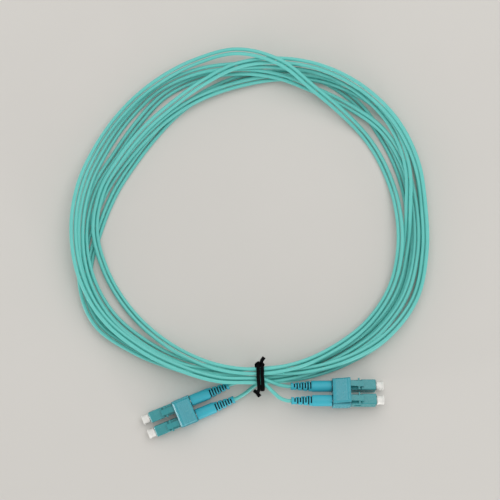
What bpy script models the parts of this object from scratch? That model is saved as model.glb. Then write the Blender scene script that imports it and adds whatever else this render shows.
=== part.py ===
"""Duplex fiber optic patch cord, coiled and tied, with a dust-capped duplex plug at each end.

Metres, +Z up. The cord lies on the floor plane. The origin is under the middle of the two
duplex plugs. Each plug is built on its own empty, with +X towards the mating face, +Z towards
the latch, and the front face of the plug housing at x = 0.
"""

import math

import bmesh
import bpy
import numpy as np
from mathutils import Matrix, Vector

MM = 0.001
CLEARANCE = 0.3 * MM  # between pieces that touch
ROUND = 16  # sides of a turned piece
SHARP_ANGLE = math.radians(35)
EMPTY_SIZE = 3 * MM
OVERCUT = 1.0 * MM  # how far a cutter stands out of what it cuts
FACING_FORWARD = (0.0, math.pi / 2, 0.0)  # turns a profile's axis from +Z to the plug's +X

# Plug housing, along x from its front face back.
PLUG_PITCH = 6.25 * MM
HOUSING_SIDE = 4.5 * MM
HOUSING_LENGTH = 10.4 * MM
HOUSING_CHAMFER = 0.35 * MM
SHANK_SIDE = 3.8 * MM
SHANK_LENGTH = 2.6 * MM
CAVITY_RADIUS = 1.75 * MM
CAVITY_DEPTH = 5.2 * MM
NECK_RADIUS = 1.0 * MM
NECK_LENGTH = 0.8 * MM
CHAMBER_RADIUS = 1.6 * MM
SIDE_GROOVE_DEPTH = 0.3 * MM
SIDE_GROOVE_START = 6.2 * MM  # behind the front face
SIDE_GROOVE_LENGTH = 3.0 * MM
SIDE_GROOVE_HEIGHT = 1.6 * MM

# Duplex clip, over the shanks of both housings.
CLIP_LENGTH = 7.5 * MM
CLIP_SIDE_WALL = 0.475 * MM
CLIP_FLOOR_WALL = 0.4 * MM
CLIP_STEP = 0.2 * MM
CLIP_STEP_LENGTH = 0.9 * MM
CLIP_BEVEL = 0.35 * MM
CLIP_GROOVE_WIDTH = 0.5 * MM
CLIP_GROOVE_DEPTH = 0.8 * MM
CLIP_FRONT = -HOUSING_LENGTH - CLEARANCE
CLIP_REAR = CLIP_FRONT - CLIP_LENGTH
CLIP_WIDTH = PLUG_PITCH + SHANK_SIDE + 2 * (CLEARANCE + CLIP_SIDE_WALL)
CLIP_HEIGHT = SHANK_SIDE + 2 * (CLEARANCE + CLIP_FLOOR_WALL)

# Ferrule, its flange and its spring.
FERRULE_RADIUS = 0.625 * MM
FERRULE_TIP = -0.3 * MM
FERRULE_CHAMFER = 0.2 * MM
FERRULE_TRAVEL = 1.0 * MM
FLANGE_RADIUS = 1.3 * MM
FLANGE_LENGTH = 1.4 * MM
FLANGE_SOCKET_DEPTH = 1.2 * MM
FLANGE_TAIL_RADIUS = 0.75 * MM
FLANGE_TAIL_LENGTH = 3.3 * MM
FLANGE_FRONT = -CAVITY_DEPTH - NECK_LENGTH - CLEARANCE
FLANGE_REAR = FLANGE_FRONT - FLANGE_LENGTH
FLANGE_TAIL_END = FLANGE_REAR - FLANGE_TAIL_LENGTH
FERRULE_END = FLANGE_FRONT - FLANGE_SOCKET_DEPTH + CLEARANCE
SPRING_WIRE = 0.3 * MM
SPRING_CURLS = 4
POINTS_PER_CURL = 8

# Rear body, crimp sleeve, fibre and boot.
REAR_FRONT = -HOUSING_LENGTH - SHANK_LENGTH - CLEARANCE
REAR_RADIUS = 1.9 * MM
POST_RADIUS = 1.0 * MM
POST_LENGTH = 5.4 * MM
POST_BARB = 0.15 * MM
POST_BARBS = 3
POST_BARB_PITCH = 1.3 * MM
POST_BORE = 0.65 * MM
POST_END = CLIP_REAR - POST_LENGTH
SLEEVE_SETBACK = 0.4 * MM  # of its front behind the boot's
SLEEVE_WALL = 0.2 * MM
SLEEVE_BORE = 1.45 * MM
SLEEVE_TAPER = 0.5 * MM
SLEEVE_GRIP = 1.3 * MM
BOOT_FRONT = CLIP_REAR - CLEARANCE
SLEEVE_FRONT = BOOT_FRONT - SLEEVE_SETBACK
SLEEVE_NECK = POST_END - 2 * CLEARANCE
SLEEVE_END = SLEEVE_NECK - SLEEVE_TAPER - SLEEVE_GRIP
FIBRE_RADIUS = 0.45 * MM
FIBRE_FRONT = FLANGE_TAIL_END - FERRULE_TRAVEL - CLEARANCE
JACKET_FRONT = SLEEVE_NECK - CLEARANCE
BOOT_RADIUS = 2.35 * MM
BOOT_WALL = 0.4 * MM
BOOT_EDGE = 0.25 * MM
BOOT_FLOOR_WALL = 0.3 * MM
BOOT_TAIL_LENGTH = 8.7 * MM
BOOT_TAIL_RADII = (2.2 * MM, 1.4 * MM)
BOOT_COLLAR = 0.9 * MM
BOOT_COLLAR_RISE = 0.12 * MM
BOOT_FLOOR = SLEEVE_END - CLEARANCE
BOOT_SHOULDER = BOOT_FLOOR - BOOT_FLOOR_WALL
BOOT_END = BOOT_SHOULDER - BOOT_TAIL_LENGTH
BOOT_SLOTS = 7
BOOT_SLOT_WIDTH = 0.52 * MM
BOOT_SLOT_INSET = 0.28 * MM  # from the shoulder, and from the end collar
BOOT_HINGE_WALL = 0.55 * MM  # what a slot leaves uncut at the far side

# Dust cap.
CAP_TAIL_LENGTH = 4.3 * MM
CAP_LENGTH = 3.2 * MM
CAP_RADIUS = 1.75 * MM
CAP_EDGE = 0.15 * MM
CAP_COLLAR = (2.05 * MM, 0.5 * MM)  # radius and thickness
CAP_RIM = (1.95 * MM, 0.5 * MM)

# Latch levers: each rises from the top of its housing back to a tail under the trigger's lip.
LATCH_WIDTH = 2.9 * MM
LATCH_FRONT = -5.2 * MM
LATCH_ROOT_LENGTH = 1.4 * MM
LATCH_FRONT_HEIGHT = 0.55 * MM
LATCH_ROOT_HEIGHT = 0.8 * MM
LATCH_TAIL_HEIGHT = 0.6 * MM
LATCH_RISE = 1.95 * MM
LATCH_REACH = 1.1 * MM  # of its tail behind the clip's front face
LATCH_FOOT = HOUSING_SIDE / 2 + CLEARANCE
LATCH_TOP = LATCH_FOOT + LATCH_RISE
LATCH_HINGE = (LATCH_FRONT - 0.6 * MM, LATCH_FOOT + 0.35 * MM)  # x and z of its axis
EAR_WIDTH = 4.9 * MM
EAR_PLACE = (2.05 * MM, 0.55 * MM)  # its middle, behind the lever's front and above its foot
EAR_SIZE = (0.7 * MM, 0.6 * MM)

# Trigger: a plate that rises from the clip's rear edge to a lip over the latch levers' tails.
TRIGGER_WIDTH = 10.5 * MM
TRIGGER_BEVEL = 0.3 * MM
TRIGGER_SETBACK = 0.2 * MM  # of its lip behind the clip's front face
TRIGGER_PLAY = 0.35 * MM  # between the lip and the latch levers' tails
TRIGGER_FOOT_LENGTH = 1.7 * MM
TRIGGER_HEEL = (0.8 * MM, 1.2 * MM, 1.6 * MM)  # length, and the heights of its rear and front edges
TRIGGER_LIP = (1.0 * MM, 1.05 * MM)  # length and height
TRIGGER_LIP_SLOPE = 0.4 * MM
TRIGGER_TAPER = 0.96
TRIGGER_TAPER_LENGTH = 2.0 * MM
TRIGGER_FOOT = CLIP_HEIGHT / 2 + CLEARANCE
TRIGGER_HINGE = (CLIP_REAR + 0.3 * MM, TRIGGER_FOOT + 0.3 * MM)  # x and z of its axis

# Where the two duplex plugs lie: front face centre, heading, roll and pitch.
LEFT_PLACE = (-45.6 * MM, -7.05 * MM, CLIP_HEIGHT / 2)
LEFT_HEADING = math.radians(202.3)
LEFT_ROLL = 0.0
LEFT_PITCH = 0.0
RIGHT_PLACE = (47.0 * MM, 6.15 * MM, 4.12 * MM)
RIGHT_HEADING = 0.0
RIGHT_ROLL = math.radians(22.0)
RIGHT_PITCH = math.radians(4.5)  # nose down, with the boots held up by the tied cord

# The zip cord: two jacketed strands side by side, and the coil that they make.
CORD_DIAMETER = 1.5 * MM
PAIR_PITCH = CORD_DIAMETER + CLEARANCE
TURN_PITCH = CORD_DIAMETER + 0.45 * MM  # least distance between the centrelines of two turns
LEG_SPACING = 2.5 * CORD_DIAMETER  # of the points between a boot and the coil
SHARES = np.linspace(0.0, 1.0, 5)  # where each segment is compared with those below it
GAP_READINGS = 6  # readings of the least gap on each segment
SETTLING_STEPS = 60
DEEPEST_SAG = 1.5 * MM  # how far a point of the coil may hang below its two neighbours' mean
COIL_CENTRE = Vector((-5.4 * MM, 78.45 * MM, 0.0))
POINTS_PER_LOOP = 24
TIE_BEARING = 4.0  # degrees from the near side, turning to the right
TIE_RADIUS = 65.0 * MM
# Each loop's radius in mm at bearings of 30, 60, ... 330 degrees: it lies on the loops before it.
LOOP_BEARINGS = tuple(range(30, 360, 30))
LOOPS = (
    (67.1, 70.1, 66.5, 64.9, 65.7, 59.5, 53.9, 52.9, 60.8, 74.6, 68.7),
    (71.0, 76.4, 72.3, 72.9, 65.8, 57.0, 54.1, 55.8, 65.1, 77.2, 69.3),
    (68.8, 72.1, 69.1, 66.9, 60.2, 61.0, 62.6, 61.3, 68.1, 70.0, 65.6),
    (65.1, 67.3, 65.6, 70.4, 68.4, 63.5, 65.9, 65.9, 69.7, 71.9, 67.9),
    (69.4, 76.1, 72.4, 72.8, 69.8, 64.5, 57.4, 58.1, 64.1, 63.0, 62.1),
    (64.0, 65.6, 62.1, 59.5, 59.3, 68.8, 68.3, 69.3, 72.7, 73.3, 68.4),
)
# Each pair's roll in degrees, 0 side by side and 90 one above the other, at 60, 120, ... 300 degrees.
ROLL_BEARINGS = tuple(range(60, 360, 60))
ROLLS = (
    (40, 20, 15, 15, 20),
    (25, 20, 10, 15, 20),
    (30, 30, 10, 10, 10),
    (20, 20, 0, 15, 20),
    (20, 25, 0, 20, 30),
    (25, 20, 0, 20, 25),
)
# Where each of the seven passes through the tie lies across it, in turn pitches from its middle.
TIE_SLOTS = (1.0, 1.0, 1.0, -1.0, -1.0, -1.0, 1.0)

# The tie: a round-edged ribbon in two turns.
TIE_WIDTH = 1.5 * MM
TIE_THICKNESS = 0.8 * MM
TIE_TURNS = 1.5
TIE_TURN_PITCH = TIE_WIDTH + 0.45 * MM
TIE_POINTS_PER_TURN = 24
TIE_END = 2.4 * MM
TIE_SAG = 0.2 * MM  # of the strands between two points of their run through it
TIE_LIFT = TIE_THICKNESS + CLEARANCE + TIE_SAG

MATERIALS = {
    "Aqua Jacket": ((0.16, 0.53, 0.49, 1.0), 0.45, 0.0),
    "Boot Rubber": ((0.08, 0.40, 0.50, 1.0), 0.5, 0.0),
    "Teal Housing": ((0.09, 0.38, 0.39, 1.0), 0.4, 0.0),
    "White Cap": ((0.80, 0.80, 0.76, 1.0), 0.4, 0.0),
    "Zirconia": ((0.85, 0.85, 0.82, 1.0), 0.15, 0.0),
    "Bright Steel": ((0.62, 0.62, 0.62, 1.0), 0.25, 1.0),
    "Clear Buffer": ((0.75, 0.72, 0.60, 1.0), 0.3, 0.0),
    "Black Tie": ((0.01, 0.01, 0.012, 1.0), 0.6, 0.0),
}


def clear_scene():
    for item in list(bpy.data.objects):
        bpy.data.objects.remove(item)


def new_collection(name):
    made = bpy.data.collections.new(name)
    bpy.context.scene.collection.children.link(made)
    return made


def new_material(name):
    colour, roughness, metallic = MATERIALS[name]
    made = bpy.data.materials.new(name)
    made.use_nodes = True
    shader = made.node_tree.nodes["Principled BSDF"]
    shader.inputs["Base Color"].default_value = colour
    shader.inputs["Roughness"].default_value = roughness
    shader.inputs["Metallic"].default_value = metallic
    made.diffuse_color = colour
    return made


def new_empty(name, parent, location, rotation=(0.0, 0.0, 0.0)):
    made = bpy.data.objects.new(name, None)
    made.parent = parent
    made.location = location
    made.rotation_euler = rotation
    made.empty_display_size = EMPTY_SIZE
    PARTS.objects.link(made)
    return made


def place(name, data, material, frame, location=(0.0, 0.0, 0.0), rotation=(0.0, 0.0, 0.0)):
    """An object of this mesh or curve, on the given empty."""
    made = bpy.data.objects.new(name, data)
    made.parent = frame
    made.location = location
    made.rotation_euler = rotation
    if not data.materials:
        data.materials.append(LOOKS[material])
    PARTS.objects.link(made)
    return made


def boolean(piece, mesh, operation="DIFFERENCE"):
    """Cuts a mesh given in the piece's own coordinates from it, or joins it on."""
    tool = bpy.data.objects.new(piece.name + "_" + mesh.name, mesh)
    tool.parent = piece.parent
    tool.location = piece.location
    tool.rotation_euler = piece.rotation_euler
    tool.hide_render = True
    tool.display_type = "WIRE"
    CUTTERS.objects.link(tool)
    modifier = piece.modifiers.new(mesh.name, "BOOLEAN")
    modifier.operation = operation
    modifier.object = tool
    modifier.solver = "EXACT"


def bevel(piece, width, segments=1):
    modifier = piece.modifiers.new("Rounded Edges", "BEVEL")
    modifier.width = width
    modifier.segments = segments
    modifier.limit_method = "ANGLE"


def mesh_of(name, bm):
    made = bpy.data.meshes.new(name)
    bm.to_mesh(made)
    bm.free()
    return made


def add_box(bm, low, high):
    """A box between two corners, added to the mesh."""
    low, high = Vector(low), Vector(high)
    matrix = Matrix.LocRotScale((low + high) / 2, None, high - low)
    return bmesh.ops.create_cube(bm, size=1.0, matrix=matrix)["verts"]


def stepped_block(name, low, high, inset, length):
    """A box whose rear face (-X) carries a narrower block, inset all round."""
    bm = bmesh.new()
    add_box(bm, low, high)
    rear = min(bm.faces, key=lambda face: face.calc_center_median().x)
    bmesh.ops.inset_individual(bm, faces=[rear], thickness=inset, use_even_offset=True)
    end = bmesh.ops.extrude_discrete_faces(bm, faces=[rear])["faces"][0]
    bmesh.ops.translate(bm, vec=(-length, 0.0, 0.0), verts=end.verts)
    return mesh_of(name, bm)


def boxes(name, corners):
    """Several boxes that don't meet, as one cutter."""
    bm = bmesh.new()
    for low, high in corners:
        add_box(bm, low, high)
    return mesh_of(name, bm)


def baked(guide):
    """The mesh that this object shows with its modifiers on. The object is removed."""
    bpy.context.scene.collection.objects.link(guide)
    bpy.context.view_layer.update()
    mesh = bpy.data.meshes.new_from_object(guide.evaluated_get(bpy.context.evaluated_depsgraph_get()))
    mesh.name = guide.name
    bpy.data.objects.remove(guide)
    return mesh


def turned(name, profile, sides=ROUND, closed=True):
    """A solid turned about +Z from (radius, z) points that run down its outer side.

    A closed profile goes on up the wall of a bore, and an open one starts and ends on the axis.
    """
    outline = bpy.data.meshes.new(name + " Profile")
    count = len(profile)
    edges = [(index, index + 1) for index in range(count - 1)]
    if closed:
        edges.append((count - 1, 0))
    outline.from_pydata([(radius, 0.0, z) for radius, z in profile], edges, [])
    guide = bpy.data.objects.new(name, outline)
    screw = guide.modifiers.new("Turn", "SCREW")
    screw.steps = sides
    screw.render_steps = sides
    screw.use_merge_vertices = True
    screw.merge_threshold = 0.01 * MM
    made = baked(guide)
    made.shade_smooth()
    made.set_sharp_from_angle(angle=SHARP_ANGLE)
    return made


def side_profile(name, outline, width):
    """A plate of this (x, z) outline, square to y and centred on it."""
    curve = bpy.data.curves.new(name, "CURVE")
    curve.dimensions = "2D"
    curve.fill_mode = "BOTH"
    curve.extrude = width / 2
    spline = curve.splines.new("POLY")
    spline.points.add(len(outline) - 1)
    for point, (x, z) in zip(spline.points, outline):
        point.co = (x, z, 0.0, 1.0)
    spline.use_cyclic_u = True
    mesh = baked(bpy.data.objects.new(name, curve))
    bm = bmesh.new()
    bm.from_mesh(mesh)
    bmesh.ops.remove_doubles(bm, verts=bm.verts, dist=0.001 * MM)
    bmesh.ops.dissolve_limit(bm, angle_limit=math.radians(1), verts=bm.verts, edges=bm.edges)
    bmesh.ops.rotate(bm, verts=bm.verts, matrix=Matrix.Rotation(math.pi / 2, 3, "X"))
    bmesh.ops.recalc_face_normals(bm, faces=bm.faces)
    bm.to_mesh(mesh)
    bm.free()
    mesh.shade_flat()
    return mesh


def tube(name, points, diameter, material, frame=None):
    """A round wire or cord through points, six-sided with filled ends."""
    curve = bpy.data.curves.new(name, "CURVE")
    curve.dimensions = "3D"
    curve.bevel_depth = diameter / 2
    curve.bevel_resolution = 1
    curve.use_fill_caps = True
    spline = curve.splines.new("POLY")
    spline.points.add(len(points) - 1)
    for point, co in zip(spline.points, points):
        point.co = (*co, 1.0)
    return place(name, curve, material, frame)


# ---------------------------------------------------------------- the shapes of one plug


def housing_mesh():
    half = HOUSING_SIDE / 2
    low, high = (-HOUSING_LENGTH, -half, -half), (0.0, half, half)
    return stepped_block("Housing Block", low, high, (HOUSING_SIDE - SHANK_SIDE) / 2, SHANK_LENGTH)


def housing_bore_mesh():
    """The front cavity, the neck that the ferrule passes and the spring's chamber, along -Z from z = 0."""
    neck = -CAVITY_DEPTH
    chamber = neck - NECK_LENGTH
    end = -HOUSING_LENGTH - SHANK_LENGTH - OVERCUT
    profile = [
        (0.0, OVERCUT),
        (CAVITY_RADIUS, OVERCUT),
        (CAVITY_RADIUS, neck),
        (NECK_RADIUS, neck),
        (NECK_RADIUS, chamber),
        (CHAMBER_RADIUS, chamber),
        (CHAMBER_RADIUS, end),
        (0.0, end),
    ]
    bore = turned("Bore", profile, closed=False)
    bore.transform(Matrix.Rotation(math.pi / 2, 4, "Y"))
    return bore


def side_grooves_mesh():
    inner = HOUSING_SIDE / 2 - SIDE_GROOVE_DEPTH
    outer = HOUSING_SIDE / 2 + OVERCUT
    front = -SIDE_GROOVE_START
    back = front - SIDE_GROOVE_LENGTH
    half = SIDE_GROOVE_HEIGHT / 2
    near = ((back, inner, -half), (front, outer, half))
    far = ((back, -outer, -half), (front, -inner, half))
    return boxes("Side Grooves", [near, far])


def ferrule_mesh():
    edge = FERRULE_RADIUS - FERRULE_CHAMFER
    profile = [
        (0.0, FERRULE_TIP),
        (edge, FERRULE_TIP),
        (FERRULE_RADIUS, FERRULE_TIP - FERRULE_CHAMFER),
        (FERRULE_RADIUS, FERRULE_END),
        (0.0, FERRULE_END),
    ]
    return turned("Ferrule", profile, sides=12, closed=False)


def flange_mesh():
    """The metal holder behind the ferrule: a socket for it, a flange and a tail inside the spring."""
    socket = FERRULE_RADIUS + CLEARANCE
    floor = FLANGE_FRONT - FLANGE_SOCKET_DEPTH
    profile = [
        (0.0, floor),
        (socket, floor),
        (socket, FLANGE_FRONT),
        (FLANGE_RADIUS, FLANGE_FRONT),
        (FLANGE_RADIUS, FLANGE_REAR),
        (FLANGE_TAIL_RADIUS, FLANGE_REAR),
        (FLANGE_TAIL_RADIUS, FLANGE_TAIL_END),
        (0.0, FLANGE_TAIL_END),
    ]
    return turned("Flange", profile, sides=12, closed=False)


def spring_points():
    """A compression spring about +X, from the flange to the rear body."""
    radius = FLANGE_TAIL_RADIUS + CLEARANCE + SPRING_WIRE / 2
    front = FLANGE_REAR - CLEARANCE - SPRING_WIRE / 2
    rear = REAR_FRONT + CLEARANCE + SPRING_WIRE / 2
    points = []
    for step in range(SPRING_CURLS * POINTS_PER_CURL + 1):
        share = step / (SPRING_CURLS * POINTS_PER_CURL)
        turn = 2 * math.pi * SPRING_CURLS * share
        points.append((front + (rear - front) * share, radius * math.cos(turn), radius * math.sin(turn)))
    return points


def rear_body_mesh():
    """A barrel behind the spring, and a barbed post that the crimp sleeve grips."""
    profile = [(REAR_RADIUS, REAR_FRONT), (REAR_RADIUS, CLIP_REAR), (POST_RADIUS, CLIP_REAR)]
    for number in range(POST_BARBS):
        start = SLEEVE_FRONT - POST_BARB_PITCH * (number + 0.5)
        end = start - POST_BARB_PITCH / 2
        profile += [(POST_RADIUS, start), (POST_RADIUS + POST_BARB, end), (POST_RADIUS, end)]
    profile += [(POST_RADIUS, POST_END), (POST_BORE, POST_END), (POST_BORE, REAR_FRONT)]
    return turned("Rear Body", profile)


def sleeve_mesh():
    """A tube over the post, necked down behind it on to the cord's jacket."""
    grip = CORD_DIAMETER / 2 + CLEARANCE
    taper = SLEEVE_NECK - SLEEVE_TAPER
    profile = [
        (SLEEVE_BORE + SLEEVE_WALL, SLEEVE_FRONT),
        (SLEEVE_BORE + SLEEVE_WALL, SLEEVE_NECK),
        (grip + SLEEVE_WALL, taper),
        (grip + SLEEVE_WALL, SLEEVE_END),
        (grip, SLEEVE_END),
        (grip, taper),
        (SLEEVE_BORE, SLEEVE_NECK),
        (SLEEVE_BORE, SLEEVE_FRONT),
    ]
    return turned("Crimp Sleeve", profile, sides=12)


def boot_mesh():
    """A barrel, a tapered tail and an end collar, bored for the crimp sleeve and the cord."""
    near, far = BOOT_TAIL_RADII
    collar = BOOT_END + BOOT_COLLAR
    passage = CORD_DIAMETER / 2 + CLEARANCE
    chamber = BOOT_RADIUS - BOOT_WALL
    profile = [
        (BOOT_RADIUS - BOOT_EDGE, BOOT_FRONT),
        (BOOT_RADIUS, BOOT_FRONT - BOOT_EDGE),
        (BOOT_RADIUS, BOOT_SHOULDER + BOOT_EDGE),
        (near, BOOT_SHOULDER),
        (far, collar),
        (far + BOOT_COLLAR_RISE, collar - BOOT_EDGE / 2),
        (far + BOOT_COLLAR_RISE, BOOT_END),
        (passage, BOOT_END),
        (passage, BOOT_FLOOR),
        (chamber, BOOT_FLOOR),
        (chamber, BOOT_FRONT),
    ]
    return turned("Boot", profile)


def boot_slots_mesh():
    """Cutters from the two sides by turns, so that the tail is left as one folded ribbon."""
    near, far = BOOT_TAIL_RADII
    slotted = BOOT_TAIL_LENGTH - BOOT_COLLAR - 2 * BOOT_SLOT_INSET
    pitch = (slotted - BOOT_SLOT_WIDTH) / (BOOT_SLOTS - 1)
    reach = BOOT_RADIUS + OVERCUT
    corners = []
    for number in range(BOOT_SLOTS):
        front = BOOT_SHOULDER - BOOT_SLOT_INSET - number * pitch
        back = front - BOOT_SLOT_WIDTH
        side = 1 if number % 2 == 0 else -1
        radius = near + (far - near) * (BOOT_SHOULDER - back) / (BOOT_TAIL_LENGTH - BOOT_COLLAR)
        start, end = sorted((side * (BOOT_HINGE_WALL - radius), side * reach))
        corners.append(((-reach, start, back), (reach, end, front)))
    return boxes("Slots", corners)


def cap_mesh():
    """A dust cap: a tail round the ferrule in the housing's cavity, a seating collar and a gripping head."""
    collar, thickness = CAP_COLLAR
    rim, rim_length = CAP_RIM
    tail = CAVITY_RADIUS - CLEARANCE
    bore = FERRULE_RADIUS + CLEARANCE
    seat = CLEARANCE
    shoulder = CAP_LENGTH - rim_length
    profile = [
        (0.0, CAP_LENGTH),
        (rim - CAP_EDGE, CAP_LENGTH),
        (rim, CAP_LENGTH - CAP_EDGE),
        (rim, shoulder),
        (CAP_RADIUS, shoulder - CAP_EDGE),
        (CAP_RADIUS, seat + thickness),
        (collar, seat + thickness),
        (collar, seat),
        (tail, seat),
        (tail, seat - CAP_TAIL_LENGTH),
        (bore, seat - CAP_TAIL_LENGTH),
        (bore, seat),
        (0.0, seat),
    ]
    return turned("Dust Cap", profile, closed=False)


def latch_meshes():
    """A lever's arm and its two ears, with the hinge at the origin."""
    x, z = LATCH_HINGE
    root = LATCH_FRONT - LATCH_ROOT_LENGTH
    tail = CLIP_FRONT - LATCH_REACH
    outline = [
        (LATCH_FRONT, LATCH_FOOT),
        (root, LATCH_FOOT),
        (tail, LATCH_TOP - LATCH_TAIL_HEIGHT),
        (tail, LATCH_TOP),
        (root, LATCH_FOOT + LATCH_ROOT_HEIGHT),
        (LATCH_FRONT, LATCH_FOOT + LATCH_FRONT_HEIGHT),
    ]
    arm = side_profile("Latch Arm", outline, LATCH_WIDTH)
    ear_x, ear_z = LATCH_FRONT - EAR_PLACE[0], LATCH_FOOT + EAR_PLACE[1]
    half_x, half_z = EAR_SIZE[0] / 2, EAR_SIZE[1] / 2
    low = (ear_x - half_x, -EAR_WIDTH / 2, ear_z - half_z)
    high = (ear_x + half_x, EAR_WIDTH / 2, ear_z + half_z)
    ears = boxes("Ears", [(low, high)])
    for mesh in (arm, ears):
        mesh.transform(Matrix.Translation((-x, 0.0, -z)))
    return arm, ears


def trigger_mesh():
    """The trigger's plate with its raised lip, with the hinge at the origin."""
    x, z = TRIGGER_HINGE
    front = CLIP_FRONT - TRIGGER_SETBACK
    heel, heel_rear, heel_front = TRIGGER_HEEL
    lip, lip_height = TRIGGER_LIP
    under = LATCH_TOP + TRIGGER_PLAY
    top = under + lip_height
    outline = [
        (CLIP_REAR, TRIGGER_FOOT),
        (CLIP_REAR + TRIGGER_FOOT_LENGTH, TRIGGER_FOOT),
        (front - CLEARANCE, under),
        (front, under),
        (front, top),
        (front - lip, top),
        (front - lip - TRIGGER_LIP_SLOPE, top - TRIGGER_LIP_SLOPE),
        (CLIP_REAR + heel, TRIGGER_FOOT + heel_front),
        (CLIP_REAR, TRIGGER_FOOT + heel_rear),
    ]
    plate = side_profile("Trigger Plate", outline, TRIGGER_WIDTH)
    for vertex in plate.vertices:
        if vertex.co.x > front - TRIGGER_TAPER_LENGTH:
            vertex.co.y *= TRIGGER_TAPER
    plate.transform(Matrix.Translation((-x, 0.0, -z)))
    return plate


def clip_mesh():
    """The clip's block. The step is at its front, so it is made rear first and turned round."""
    half_y, half_z = CLIP_WIDTH / 2, CLIP_HEIGHT / 2
    low = (CLIP_STEP_LENGTH - CLIP_FRONT, -half_y, -half_z)
    high = (-CLIP_REAR, half_y, half_z)
    block = stepped_block("Clip Block", low, high, CLIP_STEP, CLIP_STEP_LENGTH)
    block.transform(Matrix.Rotation(math.pi, 4, "Z"))
    return block


def clip_pockets_mesh():
    half = SHANK_SIDE / 2 + CLEARANCE
    corners = []
    for side in (-1, 1):
        y = side * PLUG_PITCH / 2
        corners.append(((CLIP_REAR - OVERCUT, y - half, -half), (CLIP_FRONT + OVERCUT, y + half, half)))
    return boxes("Pockets", corners)


def clip_groove_mesh():
    """The groove along the clip's underside between the two plugs."""
    half = CLIP_GROOVE_WIDTH / 2
    low = (CLIP_REAR - OVERCUT, -half, -CLIP_HEIGHT / 2 - OVERCUT)
    high = (CLIP_FRONT + OVERCUT, half, CLIP_GROOVE_DEPTH - CLIP_HEIGHT / 2)
    return boxes("Groove", [(low, high)])


# ---------------------------------------------------------------- the coil


def eased(stations, values, at):
    """A smooth curve through the values: a cubic between each two, level with its neighbours' chord."""
    stations = np.array(stations, float)
    values = np.array(values, float)
    slopes = np.gradient(values, stations)
    index = np.clip(np.searchsorted(stations, at, side="right") - 1, 0, len(stations) - 2)
    width = stations[index + 1] - stations[index]
    t = (at - stations[index]) / width
    start = (2 * t**3 - 3 * t**2 + 1) * values[index] + (t**3 - 2 * t**2 + t) * width * slopes[index]
    end = (3 * t**2 - 2 * t**3) * values[index + 1] + (t**3 - t**2) * width * slopes[index + 1]
    return start + end


def coil_plan():
    """Radius and roll of the pair at each point, from the first pass through the tie to the last."""
    radius_at, radii, roll_at, rolls = [], [], [], []
    for number, (loop, roll) in enumerate(zip(LOOPS, ROLLS)):
        start = 360 * number
        radius_at += [start + TIE_BEARING] + [start + bearing for bearing in LOOP_BEARINGS]
        radii += [TIE_RADIUS + TIE_SLOTS[number] * TURN_PITCH] + [value * MM for value in loop]
        roll_at += [start + TIE_BEARING] + [start + bearing for bearing in ROLL_BEARINGS]
        rolls += [0.0] + [math.radians(value) for value in roll]
    last = 360 * len(LOOPS) + TIE_BEARING
    radius_at.append(last)
    radii.append(TIE_RADIUS + TIE_SLOTS[-1] * TURN_PITCH)
    roll_at.append(last)
    rolls.append(0.0)
    bearings = np.linspace(TIE_BEARING, last, len(LOOPS) * POINTS_PER_LOOP + 1)
    return eased(radius_at, radii, bearings), eased(roll_at, rolls, bearings)


def along_segments(line, share):
    """The values part of the way along each segment of a line."""
    return (1 - share) * line[:-1] + share * line[1:]


def shortfalls(levels, pairs, boots):
    """How far each segment's pair lies too low at each share, over earlier turns and over the boots."""
    across, above, radii, outward = pairs
    for share in SHARES:
        need = np.zeros(len(radii) - 1)
        for mine in (0, 1):
            reach = along_segments(radii + across[mine], share)
            own_rise = along_segments(above[mine], share)
            for shift in range(POINTS_PER_LOOP, len(radii) - 1, POINTS_PER_LOOP):
                for other in (0, 1):
                    apart = reach[shift:] - along_segments(radii + across[other], share)[:-shift]
                    below = along_segments(levels + above[other], share)[:-shift]
                    rise = np.sqrt(np.clip(TURN_PITCH**2 - apart**2, 0.0, None))
                    level = np.where(rise > 0, below + rise - own_rise[shift:], 0.0)
                    need[shift:] = np.maximum(need[shift:], level)
            points = along_segments(outward * (radii + across[mine])[:, None], share) + COIL_CENTRE.to_2d()
            for start, end, radius in boots:
                run = (end - start)[:2]
                where = np.clip((points - start[:2]) @ run / (run @ run), 0.0, 1.0)
                apart = np.linalg.norm(points - start[:2] - where[:, None] * run, axis=1)
                rise = np.sqrt(np.clip((radius + CORD_DIAMETER / 2 + CLEARANCE) ** 2 - apart**2, 0.0, None))
                need = np.maximum(need, np.where(rise > 0, start[2] + rise - own_rise, 0.0))
        yield share, np.clip(need - along_segments(levels, share), 0.0, None)


def settled(levels, pairs, boots):
    """Lifts each turn off the turns before it, a little at a time, until none is too low."""
    for _ in range(SETTLING_STEPS):
        lift = np.zeros(len(levels))
        for share, short in shortfalls(levels, pairs, boots):
            weight = (1 - share) ** 2 + share**2
            lift[:-1] = np.maximum(lift[:-1], short * (1 - share) / weight)
            lift[1:] = np.maximum(lift[1:], short * share / weight)
        levels = levels + lift
        levels[1:-1] = np.maximum(levels[1:-1], (levels[:-2] + levels[2:]) / 2 - DEEPEST_SAG)
    return levels


def coil_strands(boots):
    """The centre points of strands A (inner) and B (outer) round the coil."""
    radii, rolls = coil_plan()
    across = np.stack([-np.cos(rolls), np.cos(rolls)]) * PAIR_PITCH / 2
    above = np.stack([-np.sin(rolls), np.sin(rolls)]) * PAIR_PITCH / 2
    bearings = np.radians(TIE_BEARING + np.arange(len(radii)) * 360 / POINTS_PER_LOOP)
    outward = np.stack([np.sin(bearings), -np.cos(bearings)], axis=1)
    in_tie = np.arange(len(radii)) % POINTS_PER_LOOP == 0
    floor = CORD_DIAMETER / 2 + above[1] + np.where(in_tie, TIE_LIFT, 0.0)
    levels = settled(floor, (across, above, radii, outward), boots)
    strands = []
    for side in (0, 1):
        flat = outward * (radii + across[side])[:, None] + COIL_CENTRE.to_2d()
        strands.append([Vector(point) for point in np.column_stack([flat, levels + above[side]])])
    return strands


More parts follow.
